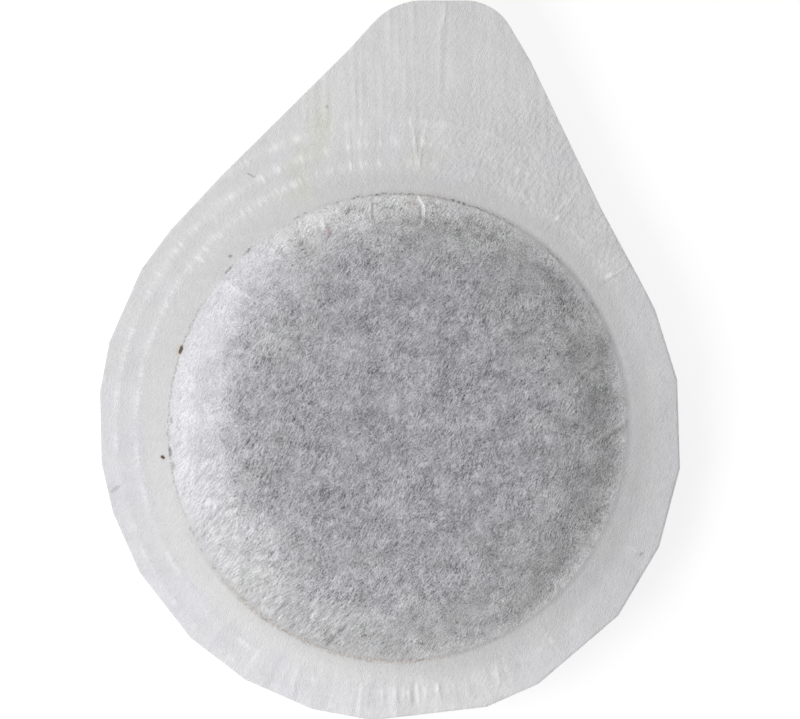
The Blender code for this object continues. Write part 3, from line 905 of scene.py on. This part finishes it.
def paper_material(name, colours, seed, marks):
    """Filter paper. Its tone, and how strongly its fibres show, are kept on the mesh, because they follow how
    close the coffee lies behind; on the upper sheet the tone also holds painted light and shade, and painted
    highlights on pads and creases. Fibres, felt clouds and grounds are drawn in the flat paper's own place."""
    material, nodes, shader = new_material(name)
    place = nodes.scaled(nodes.note("laid_flat"), 1 / MM)
    place = nodes.vector("ADD", place, (seed, 2 * seed, 0.0))
    cover, contrast, pressed_and_highlight = nodes.apart(nodes.note("tone"))
    yellow, brown, dashes = nodes.apart(nodes.note("stains_and_rim_shade"))
    past_rim, _, peel = nodes.apart(nodes.note("rim"))
    rim_place = nodes.scaled(nodes.note("rim"), 1 / MM)

    felt_values = {"Place": place, "Direction": math.radians(60), "Length": 1.0, "Width": 0.105}
    felt = nodes.times(nodes.group("Felt of Fibres", felt_values), 11.8)
    grains = nodes.centred(nodes.noise(place, 5.2, detail=2.0, roughness=0.6), 6.2)
    clouds = nodes.centred(nodes.noise(place, 0.42, detail=3.0, roughness=0.58), 5.2)
    texture = nodes.plus(felt, grains, clouds)
    strokes = nodes.plus(
        nodes.centred(nodes.fibres(place, 34, 1.5, 0.15, 57.8), 0.42),
        nodes.centred(nodes.fibres(place, 56, 1.5, 0.19, 95.2), 0.42),
    )
    strokes = nodes.times(strokes, nodes.note("strokes", "Fac"))
    lightness = nodes.plus(1.0, nodes.times(texture, contrast), strokes)

    in_seam = nodes.ramp(past_rim, -0.3 * MM, 0.1 * MM)
    paper = nodes.mix(in_seam, colours.crown, colours.seam)
    # Over the upper sheet, cover also carries painted light and shade.
    paper = nodes.mix(cover, colours.pocket, paper)
    paper = nodes.mix(nodes.note("cool", "Fac"), paper, colours.cool, "MULTIPLY")
    shade = nodes.add("ShaderNodeCombineColor", {0: lightness, 1: lightness, 2: lightness}).outputs[0]
    paper = nodes.mix(1.0, paper, shade, "MULTIPLY")
    paper = add_grounds(nodes, paper, place, contrast, colours.crumb)
    ticks = nodes.ramp(nodes.fibres(rim_place, 0, 1.6, 0.24, 4.0), 0.36, 0.60, 0.45, 1.25)
    # Pressed paper and painted highlight: pads and creases lighter.
    paper = nodes.mix(nodes.math("MULTIPLY", pressed_and_highlight, ticks, clamp=True), paper, PRESSED_AND_HIGHLIGHT_COLOUR)
    paper = nodes.mix(yellow, paper, colours.stain, "MULTIPLY")
    paper = add_rim_lines(nodes, paper, rim_place, past_rim, dashes, brown, colours.crumb)
    if marks:
        paper = add_marks(nodes, paper, marks)

    nodes.feed(shader.inputs["Base Color"], paper)
    shader.inputs["Roughness"].default_value = 0.9
    shader.inputs["Specular IOR Level"].default_value = 0.10
    short_fibres = nodes.fibres(place, 50, 0.9, 0.32, 9.0)
    dimples = nodes.plus(nodes.noise(place, 1.9, detail=2.0), nodes.times(short_fibres, 0.5))
    dimples = nodes.times(nodes.math("SUBTRACT", dimples, 0.75), 23.0, peel)
    height = nodes.plus(texture, dimples, nodes.times(strokes, 12.0))
    relief = nodes.add("ShaderNodeBump", {"Height": height, "Strength": 0.35, "Distance": 0.02 * MM})
    nodes.feed(shader.inputs["Normal"], relief.outputs[0])
    return material


# Crumbs along the pocket's rim: azimuth and half length in degrees, and how dark they show
RIM_DASHES = (
    (1, 1, 0.3), (6, 1, 0.3), (23, 1, 0.45), (31.5, 1.5, 0.5), (36.5, 0.5, 0.5), (47.5, 2.5, 0.55),
    (61, 1, 0.6), (66.3, 0.7, 0.7), (70, 1, 0.8), (75, 2, 0.8), (86.8, 1.2, 0.7), (95, 1.4, 0.85),
    (100.5, 1.1, 0.7), (104.8, 0.8, 0.55), (113.1, 0.5, 0.7), (115.7, 0.7, 0.7), (130.3, 1.3, 0.75),
    (137, 1.6, 0.65), (148, 0.5, 0.35), (157.2, 0.8, 0.5), (165.8, 2.2, 0.45), (179, 1, 0.35),
    (185.8, 1, 0.5), (188.1, 0.5, 0.4), (202, 1, 0.3), (206.8, 1.2, 0.45), (212, 0.5, 0.4),
    (217.5, 0.5, 0.45), (221, 0.5, 0.4), (227.6, 0.4, 0.4), (235.4, 0.4, 0.4), (241, 1, 0.4),
    (247, 0.5, 0.35), (260.5, 0.5, 0.4), (275.4, 1, 0.5), (295, 0.7, 0.35),
)


def rim_dashes(spokes):
    """How dark the dashes show along the rim: the crumbs named above, and a fainter steady line of painted
    shade in the rim's bend on the left and on top.
    """
    total = 0.36 * spokes.within(174, 20, 34) + 0.45 * spokes.within(80, 12, 26)
    for azimuth, half_length, strength in RIM_DASHES:
        total = np.maximum(total, strength * ease(half_length - np.abs(spokes.off(azimuth)), -0.4, 0.3))
    return total


def pocket_cover_and_painted_light(spokes, share, uneven):
    """How much the pocket's paper covers the coffee, which lies against the flat top, and further from the
    paper the nearer the rim. Over the shoulder this also holds painted light and shade: lighter on the left,
    partly where the paper lifts off the coffee, lighter on the upper left and near the rim on top, and darker
    on the lower left and partway out on top."""
    cover = 0.10 * ease(share, 0.50, 0.66) + 0.42 * ease(share, 0.64, 0.84) + 0.26 * ease(share, 0.80, 0.96)
    cover = cover * (1 + 0.30 * spokes.near(170, 50)) + 0.05 * uneven
    cover += 0.07 * tufts(spokes) - 0.10 * spokes.near(240, 45) * ease(share, 0.74, 0.86)
    cover += 0.20 * spokes.near(84, 16) * ease(share, 0.82, 0.88)
    cover += 0.12 * spokes.near(128, 24) * bump(share, 0.88, 0.06)
    return cover - 0.10 * spokes.near(80, 24) * bump(share, 0.74, 0.10)


def seam_cover_and_painted_light(spokes, uneven, streaks):
    """The same for the seam, whose paper is denser outwards, and which is lighter in the tab and at the
    bottom. It is also painted lighter on the left and lower left, towards the key light, and painted darker
    near the rim on the right and upper right, where the crown shades it.
    """
    cover = 0.645 + (0.07 - 0.05 * spokes.near(182, 45)) * spokes.beyond(1.2, 2.6)
    cover += 0.035 * spokes.beyond(4.2, 5.4)
    cover += 0.015 * uneven + 0.09 * ease(spokes.y, 24 * MM, 34 * MM) + 0.05 * spokes.near(165, 45)
    cover += 0.14 * spokes.near(258, 42) * spokes.beyond(0, 1.6)
    cover -= 0.14 * spokes.near(322, 48) * (1 - spokes.beyond(1.6, 3.8))
    cover -= 0.05 * spokes.near(50, 55) * (1 - spokes.beyond(0.8, 2.8))
    cover += 0.08 * spokes.near(224, 44) * (1 - spokes.beyond(1.5, 2.6))
    return cover + 0.05 * streaks * spokes.drawn_out(0.15, 2.4, 67)


def rim_shade(spokes):
    """How much darker the paper is in the bend at the pocket's rim, most of all away from the key light."""
    low = spokes.near(262, 32)
    at_rim = ease(spokes.share, 0.865, 0.96) * (1 - spokes.beyond(0.1 - 0.5 * low, 0.6 - 0.5 * low))
    in_shade = 0.13 - 0.17 * spokes.facing(159) + 0.17 * spokes.near(40, 38) + 0.07 * spokes.near(240, 42)
    in_shade -= 0.14 * spokes.near(340, 50) * ease(spokes.share, 0.94, 0.99)
    return at_rim * in_shade


def upper_tones(spokes):
    """How much the paper covers the coffee, with painted light and shade over it, how strongly its fibres
    show, and how white it is pressed, with a painted highlight where pads and creases catch the light.
    """
    inside = spokes.past < 0
    share = spokes.share * (0.98 + 0.02 * np.cos(2 * spokes.angle))
    share = share - 0.045 * spokes.near(132, 50) * (1 - ease(share, 0.80, 0.93))
    uneven = 0.5 * spokes.field(5, 61) + 0.5 * spokes.field(12, 62)
    streaks = spokes.near(262, 36) * spokes.beyond(1.0, 2.8)
    creases = crease_shape(spokes)
    cover = np.where(inside, pocket_cover_and_painted_light(spokes, share, uneven), seam_cover_and_painted_light(spokes, uneven, streaks))
    # Painted shade: darker in the rim's bend, and in the grooves among the creases.
    cover = cover - rim_shade(spokes) - np.where(inside, 0.34, 0.06) * np.clip(-creases, 0, 2.5)
    left = 0.5 + 0.5 * spokes.facing(175)
    contrast = 0.17 + (0.04 * spokes.near(90, 50) - 0.100 * left) * ease(share, 0.6, 0.9)
    contrast = np.where(inside, contrast * (1 - 0.4 * ease(spokes.share, 0.94, 1.0)), 0.020)
    # Pads and creases are pressed whiter, and also painted lighter as a highlight where they catch the light,
    # most on top and on the upper left.
    above = spokes.near(92, 30) + 0.9 * spokes.near(140, 28)
    pressed_and_highlight = (0.42 + 0.35 * above) * np.clip(pad_shape(spokes), 0, 1)
    pressed_and_highlight += (0.14 + 0.16 * spokes.near(40, 20)) * np.clip(creases, 0, 2.5) ** 2
    pressed_and_highlight += 0.25 * streaks * ease(spokes.drawn_out(0.12, 0.8, WRINKLE_SEED), 0.4, 1.6)
    return np.stack([np.clip(cover, 0, 1.5), contrast, np.clip(pressed_and_highlight, 0, 0.9)], -1)


def lower_tones(spokes):
    """As on the upper sheet. The coffee lies against the flat face and most of the wall."""
    share = spokes.share
    inside = spokes.past < 0
    uneven = 0.5 * spokes.field(5, 63) + 0.5 * spokes.field(12, 64)
    cover = np.where(inside, 0.02 + 0.5 * ease(share, 0.8, 0.99) + 0.03 * uneven, 0.69 + 0.015 * uneven)
    contrast = np.where(inside, 0.19 - 0.07 * ease(share, 0.7, 0.95), 0.022)
    pressed_and_highlight = 0.3 * np.clip(pad_shape(spokes), 0, 1)
    return np.stack([np.clip(cover, 0, 1), contrast, pressed_and_highlight], -1)


def coolness(spokes):
    """How lilac the paper is: most over the middle of the coffee and on the left shoulder, a little in the
    seam on both sides, and not at all in the tab."""
    share = spokes.share
    shoulder = ease(spokes.facing(167), 0.5, 1.0) * ease(share, 0.6, 0.8)
    pocket = np.maximum((1 - 0.55 * ease(share, 0.3, 0.7)) * (1 - ease(share, 0.76, 0.9)), shoulder)
    outer = spokes.beyond(1.6, 3.0)
    left = ease(spokes.facing(212), 0.25, 0.9)
    right = ease(spokes.facing(-18), 0.45, 0.85)
    seam = left * 0.65 * outer + right * (0.3 + 0.2 * outer)
    uneven = spokes.field(4, 65) + spokes.field(10, 66)
    return np.clip(np.where(spokes.past < 0, pocket, seam) + 0.12 * uneven, 0, 1)


def upper_stains_and_rim_shade(spokes):
    """Yellow in a band that runs up the tab's left side, in a spot above the pocket and a little in the plain
    band, a brown line along the lower and upper rim, and dark dashes all round it, which are crumbs and, on
    the left and on top, painted shade in the rim's bend."""
    up, away = spokes.beside_line((-10.3, 21.5), (-6.4, 31.5))
    yellow = 0.7 * bump(away, 0, 1.3 * MM) * band(up, -0.1, 0.1, 0.8, 1.15)
    yellow *= 0.7 + 0.3 * spokes.field(3, 71)
    yellow += 0.3 * bump(np.hypot(spokes.x - 2.2 * MM, spokes.y - 25.6 * MM), 0, 1.6 * MM)
    yellow += 0.05 * (1 - ease(np.abs(spokes.past - 1.4 * MM), 0.9 * MM, 1.8 * MM))
    brown = 0.6 * spokes.within(252, 15, 48) + 0.14 * spokes.within(78, 26, 44)
    return np.stack([np.clip(yellow, 0, 1), brown, rim_dashes(spokes)], -1)


def lower_stains(spokes):
    """Even, faint dashes of crumbs along the rim."""
    blank = np.zeros_like(spokes.x)
    return np.stack([blank, blank, blank + 0.4], -1)


class POD_OT_upper_paper(bpy.types.Operator):
    """Makes the upper sheet of filter paper, with its crown, seam and tab"""

    bl_idname = "pod.upper_paper"
    bl_label = "Upper Paper"

    def execute(self, context):
        obj = make_sheet("upper_sheet", context.scene.pod_sizes, 1, 21, upper_tones, upper_stains_and_rim_shade)
        paper = paper_material("upper_filter_paper", context.scene.pod_colours, 11.0, MARKS)
        obj.data.materials.append(paper)
        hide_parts("upper_paper")
        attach(obj, "root")
        return {"FINISHED"}


class POD_OT_lower_paper(bpy.types.Operator):
    """Makes the lower sheet of filter paper, with its cup and the flat face that the pod rests on"""

    bl_idname = "pod.lower_paper"
    bl_label = "Lower Paper"

    def execute(self, context):
        obj = make_sheet("lower_sheet", context.scene.pod_sizes, -1, 31, lower_tones, lower_stains)
        paper = paper_material("lower_filter_paper", context.scene.pod_colours, 37.0, ())
        obj.data.materials.append(paper)
        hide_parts("lower_paper")
        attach(obj, "root")
        return {"FINISHED"}


def coffee_rings():
    """Rings of the puck: the crown's and the cup's shapes, pulled in by a clearance and roughened by noise.
    The two sides meet in a thin edge."""
    angle = np.arange(COFFEE_SPOKES) * TURN / COFFEE_SPOKES
    widest = 1 - PUCK_RIM_CLEARANCE / POCKET_RADIUS
    share = np.linspace(0, widest, COFFEE_RINGS)[:, None]
    rim = pocket_rim(angle)
    x, y = share * rim * np.cos(angle), share * rim * np.sin(angle)
    grit = GRIT * (noise(x, y, 0.9 * MM, 81) + noise(x, y, 1.8 * MM, 82)) - GRIT_CLEARANCE
    top = SEAM_HEIGHT + (PUCK_HIGH.z - SEAM_HEIGHT) * crown_shape(share) + grit
    bottom = SEAM_HEIGHT - (SEAM_HEIGHT - PUCK_LOW.z) * cup_shape(share) - grit
    join = (top[-1] + bottom[-1]) / 2
    top[-1] = np.maximum(top[-1], join + PUCK_EDGE / 2)
    bottom[-1] = np.minimum(bottom[-1], join - PUCK_EDGE / 2)
    above = np.stack([x, y, np.maximum(top, join.mean())], -1)
    below = np.stack([x, y, np.minimum(bottom, join.mean() - PUCK_EDGE)], -1)
    return np.concatenate([above, below[::-1]])


def coffee_material(coffee):
    """Ground coffee: cells of grains, each a little lighter or darker, with black gaps between them."""
    material, nodes, shader = new_material("ground_coffee")
    place = nodes.object_place()
    cells = nodes.add("ShaderNodeTexVoronoi", {"Vector": place, "Scale": 1.7, "Randomness": 1.0})
    shade = nodes.apart(cells.outputs["Color"])[0]
    grain = nodes.mix(shade, [0.45 * channel for channel in coffee], [1.9 * channel for channel in coffee])
    gap = nodes.ramp(cells.outputs["Distance"], 0.30, 0.62)
    nodes.feed(shader.inputs["Base Color"], nodes.mix(gap, grain, GAP_COLOUR))
    shader.inputs["Roughness"].default_value = 0.85
    relief = nodes.add("ShaderNodeBump", {"Height": nodes.math("SUBTRACT", 1.0, gap), "Distance": 0.15 * MM})
    nodes.feed(shader.inputs["Normal"], relief.outputs[0])
    return material


class POD_OT_coffee(bpy.types.Operator):
    """Makes the pressed puck of ground coffee between the sheets"""

    bl_idname = "pod.coffee"
    bl_label = "Ground Coffee"

    def execute(self, context):
        obj = skin("ground_coffee", coffee_rings())
        obj.data.materials.append(coffee_material(context.scene.pod_colours.coffee))
        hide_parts("coffee_puck")
        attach(obj, "root")
        return {"FINISHED"}


def seen_directly(nodes):
    """1 for rays from the camera, and for those that metal and glass send on, and 0 for all other light."""
    ray = nodes.add("ShaderNodeLightPath").outputs
    direct = nodes.math("MAXIMUM", ray["Is Camera Ray"], ray["Is Glossy Ray"])
    return nodes.math("MAXIMUM", direct, ray["Is Transmission Ray"])


def floor_material():
    """White to the camera with the pod's shadow on it, and plain pale grey to all other light."""
    material, nodes, shader = new_material("floor")
    nodes.tree.nodes.remove(shader)
    glow = nodes.add("ShaderNodeEmission", {"Color": (1, 1, 1), "Strength": FLOOR_GLOW})
    shadowed = nodes.add("ShaderNodeBsdfDiffuse", {"Color": (FLOOR_COLOUR,) * 3})
    seen = nodes.add("ShaderNodeAddShader", {0: glow.outputs[0], 1: shadowed.outputs[0]})
    bounce = nodes.add("ShaderNodeBsdfDiffuse", {"Color": (FLOOR_BOUNCE,) * 3})
    both = {0: seen_directly(nodes), 1: bounce.outputs[0], 2: seen.outputs[0]}
    mixed = nodes.add("ShaderNodeMixShader", both)
    nodes.feed(nodes.tree.nodes["Material Output"].inputs["Surface"], mixed.outputs[0])
    return material


def make_world(strength):
    """An even grey sky, which the camera sees as white."""
    world = bpy.data.worlds.new("sky")
    world.use_nodes = True
    nodes = Nodes(world.node_tree)
    sky = world.node_tree.nodes["Background"]
    nodes.feed(sky.inputs["Color"], (1, 1, 1))
    nodes.feed(sky.inputs["Strength"], nodes.ramp(seen_directly(nodes), 0.0, 1.0, strength, 1.0))
    bpy.context.scene.world = world


def add_lamp(name, strength, azimuth, elevation, distance, size):
    """A square lamp that faces the middle of the pocket."""
    light = bpy.data.lights.new(name, "AREA")
    light.energy = strength
    light.size = size
    lamp = place_object(name, light)
    turn, rise = math.radians(azimuth), math.radians(elevation)
    away = Vector((math.cos(turn) * math.cos(rise), math.sin(turn) * math.cos(rise), math.sin(rise)))
    lamp.location = away * distance + Vector((0, 0, SEAM_HEIGHT))
    lamp.rotation_euler = away.to_track_quat("Z", "Y").to_euler()
    lamp.visible_camera = False


def add_floor():
    """A wide level disc at the height that the pod rests on."""
    turns = np.arange(FLOOR_POINTS) * TURN / FLOOR_POINTS
    points = FLOOR_RADIUS * np.stack([np.cos(turns), np.sin(turns), np.zeros(FLOOR_POINTS)], -1)
    mesh = bpy.data.meshes.new("floor")
    mesh.from_pydata(points.tolist(), [], [list(range(FLOOR_POINTS))])
    mesh.materials.append(floor_material())
    return place_object("floor", mesh)


def add_camera(lens, view_width):
    """The camera that looks straight down, as high up as its lens needs for that width of view."""
    data = bpy.data.cameras.new("camera")
    data.lens = lens
    data.sensor_width = SENSOR_WIDTH
    camera = place_object("camera", data)
    camera.location = (*VIEW_CENTRE, SEAM_HEIGHT + lens * view_width / SENSOR_WIDTH)
    return camera


class POD_OT_stage(bpy.types.Operator):
    """Makes the floor, the light and the camera, which looks straight down"""

    bl_idname = "pod.stage"
    bl_label = "Stage"

    def execute(self, context):
        stage = context.scene.pod_stage
        add_floor()
        make_world(stage.sky_strength)
        add_lamp("key", stage.key_strength, *KEY_PLACE)
        add_lamp("fill", stage.fill_strength, *FILL_PLACE)
        context.scene.camera = add_camera(stage.lens, stage.view_width)
        context.scene.view_settings.view_transform = "Standard"
        return {"FINISHED"}


class POD_PT_panel(bpy.types.Panel):
    """Lists the pod's sizes, colours and stage, and the operators that build them"""

    bl_idname = "POD_PT_panel"
    bl_label = "Espresso Pod"
    bl_space_type = "VIEW_3D"
    bl_region_type = "UI"
    bl_category = "Pod"

    def draw(self, context):
        for group in (context.scene.pod_sizes, context.scene.pod_colours, context.scene.pod_stage):
            box = self.layout.box()
            for name in group.__annotations__:
                box.prop(group, name)
        for operator in OPERATORS:
            self.layout.operator(operator.bl_idname)


OPERATORS = (POD_OT_stage, POD_OT_coffee, POD_OT_lower_paper, POD_OT_upper_paper)
GROUPS = {"pod_sizes": PodSizes, "pod_colours": PodColours, "pod_stage": PodStage}


def register():
    for item in (*GROUPS.values(), *OPERATORS, POD_PT_panel):
        bpy.utils.register_class(item)
    for name, group in GROUPS.items():
        setattr(bpy.types.Scene, name, PointerProperty(type=group))


def unregister():
    for name in GROUPS:
        delattr(bpy.types.Scene, name)
    for item in (POD_PT_panel, *reversed(OPERATORS), *reversed(GROUPS.values())):
        bpy.utils.unregister_class(item)


def main():
    register()
    bpy.ops.pod.stage()
    bpy.ops.pod.coffee()
    bpy.ops.pod.lower_paper()
    bpy.ops.pod.upper_paper()


if __name__ == "__main__":
    main()
